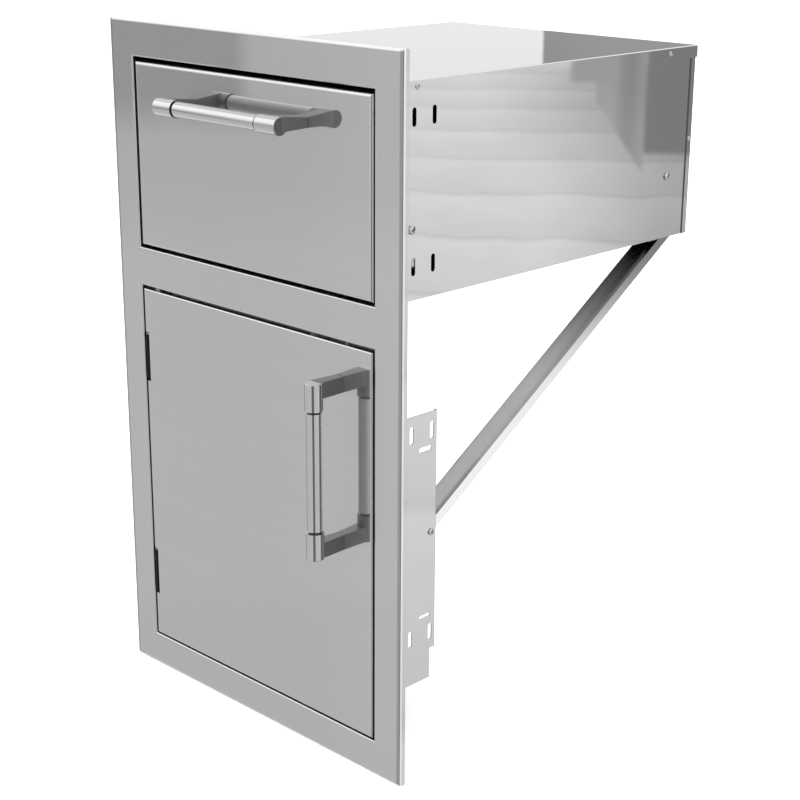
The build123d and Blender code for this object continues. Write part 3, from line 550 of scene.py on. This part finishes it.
def room_back(g, glow, az, el):
    """Behind the unit: a dark end wall, the light above it, and folded screens to its right."""
    wall = g.band(az, -39.3, SCREENS_FROM, 0.07) * g.band(el, -8.78, 23.5, 0.14)
    tone = g.ramp(az, -39.5, -37.0, 0.34, 0.37) - g.ramp(az, -33, 0, 0.0, 0.13)
    tone = tone + g.ramp(az, 20.0, 36.0, 0.0, 0.07)
    glow = glow.toward(tone, wall)

    light_above = g.band(az, -15, 60, 5.0) * g.band(el, 25, 62, 2.0)
    glow = glow.toward(1.40, light_above)

    above_slanting_foot = g.ramp(el - az * 1.4 + 59.85, -0.12, 0.12)
    screens = g.band(az, SCREENS_FROM, 37.7, 0.07) * above_slanting_foot
    tone = g.ramp(az, 36.6, 37.25, 0.40, 0.55) + g.ramp(az, 36.5, 36.15, 0.0, 0.07)
    tone = tone + g.ramp(el, -6.2, -8.4, 0.0, 0.06)
    glow = glow.toward(tone, screens)

    last_screen = g.band(az, 37.0, 38.6, 0.15) * g.ramp(el, -6.6, -6.3)
    return glow.toward(0.53, last_screen)


def room_front(g, glow, az, el):
    """A dark wall low on the left, and in front a bright wall over a mid grey one and a grey floor."""
    dark_wall = g.band(az, -123, -44, 1.5) * g.band(el, -30, 2, 1.0)
    glow = glow.toward(0.36, dark_wall)

    ahead_and_low = g.ramp(g.math("ABSOLUTE", az), 96, 104) * g.ramp(el, 9, 3)
    glow = glow.toward(0.80, ahead_and_low)

    low = g.ramp(el, -50, -28, 0.36, 0.69) + g.ramp(el, -25.5, -23.5, 0.0, 0.035)
    low = low - g.ramp(el, -13.0, -9.5, 0.0, 0.07) + g.ramp(az, -131, -136, 0.0, 0.05)
    low = low.toward(0.42, g.band(az, -130.4, -100, 0.4) * g.ramp(el, -8.6, -6.8))
    high = g.ramp(el, 0, 27, 0.63, 1.58) * g.ramp(el, 42, 52, 1.0, 0.6)
    narrow, wide = g.band(az, -153, -123, 3.0), g.band(az, -140, -98, 3.0)
    front = narrow.toward(1.0, wide * g.ramp(el, 4, 10))
    return glow.toward(low.toward(high, g.ramp(el, -3, 1)), front)


def studio_dome():
    """Stands in for the room that bright metal reflects; only reflections see it."""
    mesh = bpy.data.meshes.new("dome")
    shell = bmesh.new()
    bmesh.ops.create_uvsphere(shell, u_segments=96, v_segments=48, radius=DOME_R)
    shell.to_mesh(mesh)
    shell.free()
    dome = bpy.data.objects.new("dome", mesh)
    scene.collection.objects.link(dome)
    made, g = material("room")
    place = g.node("ShaderNodeTexCoord")
    split = g.node("ShaderNodeSeparateXYZ", {0: place.outputs["Object"]})
    x, y, z = [g.wire(split.outputs[i]) for i in range(3)]
    az = g.math("ARCTAN2", x, y) * (180 / math.pi)
    el = g.math("ARCSINE", z / DOME_R) * (180 / math.pi)

    glow = g.ramp(el, 8.0, 22.0, 0.98, 1.20).toward(0.9, g.ramp(el, 32, 44))
    for part in (room_floor, room_back, room_front):
        glow = part(g, glow, az, el)
    someone_by_the_camera = g.band(az, 128, 157, 1.5) * g.band(el, -40, 4, 2.0)
    glow = glow.toward(0.20, someone_by_the_camera)
    under_the_unit = g.ramp(el, -50, -62)
    glow = glow.toward(0.14, under_the_unit)

    shader = g.node("ShaderNodeEmission", {"Strength": glow})
    g.node("ShaderNodeOutputMaterial", {"Surface": shader.outputs[0]})
    made.cycles.emission_sampling = "NONE"
    mesh.materials.append(made)
    dome.visible_camera = False
    dome.visible_diffuse = False
    dome.visible_shadow = False
    dome.visible_transmission = False


def studio_floor():
    """A pale floor just under the unit, left out of its reflections."""
    half, drop = 14.0, 0.0005
    outline = [(-half, -half, 0), (half, -half, 0), (half, half, 0), (-half, half, 0)]
    mesh = bpy.data.meshes.new("floor")
    mesh.from_pydata(outline, [], [(0, 1, 2, 3)])
    floor = bpy.data.objects.new("floor", mesh)
    floor.location.z = -drop
    scene.collection.objects.link(floor)
    made, g = material("pale_floor")
    mottle = noise(g, 3, 3, 0.5)
    tone = (mottle - 0.5) * 0.015 + 0.93
    colour = g.node("ShaderNodeCombineColor", {0: tone, 1: tone, 2: tone})
    shader = g.node("ShaderNodeBsdfPrincipled", {"Base Color": colour.outputs[0], "Roughness": 0.9})
    g.node("ShaderNodeOutputMaterial", {"Surface": shader.outputs[0]})
    mesh.materials.append(made)
    floor.visible_glossy = False


def area_light(name, place, power):
    """A round lamp aimed at the unit. It lights the scene but is not seen, not even reflected."""
    lamp = bpy.data.lights.new(name, "AREA")
    lamp.shape = "DISK"
    lamp.size = LAMP_SIZE
    lamp.energy = power
    made = bpy.data.objects.new(name, lamp)
    made.location = place
    made.rotation_mode = "QUATERNION"
    made.rotation_quaternion = (Vector(LAMP_AIM) - Vector(place)).to_track_quat("-Z", "Y")
    made.visible_camera = False
    made.visible_glossy = False
    scene.collection.objects.link(made)


def studio_world():
    """An even white light from all round."""
    world = bpy.data.worlds.new("studio")
    world.use_nodes = True
    g = Graph(world.node_tree)
    sky = g.node("ShaderNodeBackground", {"Color": (1, 1, 1, 1), "Strength": 1.6})
    g.node("ShaderNodeOutputWorld", {"Surface": sky.outputs[0]})
    scene.world = world


def studio_camera():
    """The photo's camera: its place, its turn and its lens were fitted to the photo."""
    azimuth, elevation, roll = CAMERA_TURN
    back = Vector((math.sin(azimuth) * math.cos(elevation), -math.cos(azimuth) * math.cos(elevation),
                   math.sin(elevation)))
    level = Vector((math.cos(azimuth), math.sin(azimuth), 0))
    upright = back.cross(level)
    right = math.cos(roll) * level + math.sin(roll) * upright
    up = -math.sin(roll) * level + math.cos(roll) * upright
    lens = bpy.data.cameras.new("camera")
    lens.sensor_width = SENSOR_MM
    lens.lens = LENS_MM
    lens.clip_start, lens.clip_end = 0.05, 200
    camera = bpy.data.objects.new("camera", lens)
    turn = Matrix((right, up, back)).transposed().to_4x4()
    camera.matrix_world = Matrix.Translation(CAMERA_PLACE) @ turn
    scene.collection.objects.link(camera)
    scene.camera = camera


scene.view_settings.view_transform = "Standard"
studio_world()
studio_dome()
studio_floor()
area_light("key", (1.5, -2.0, 3.2), 60)
area_light("fill", (-2.5, -1.0, 2.6), 40)
area_light("rear", (0.5, 3.0, 3.0), 40)
studio_camera()
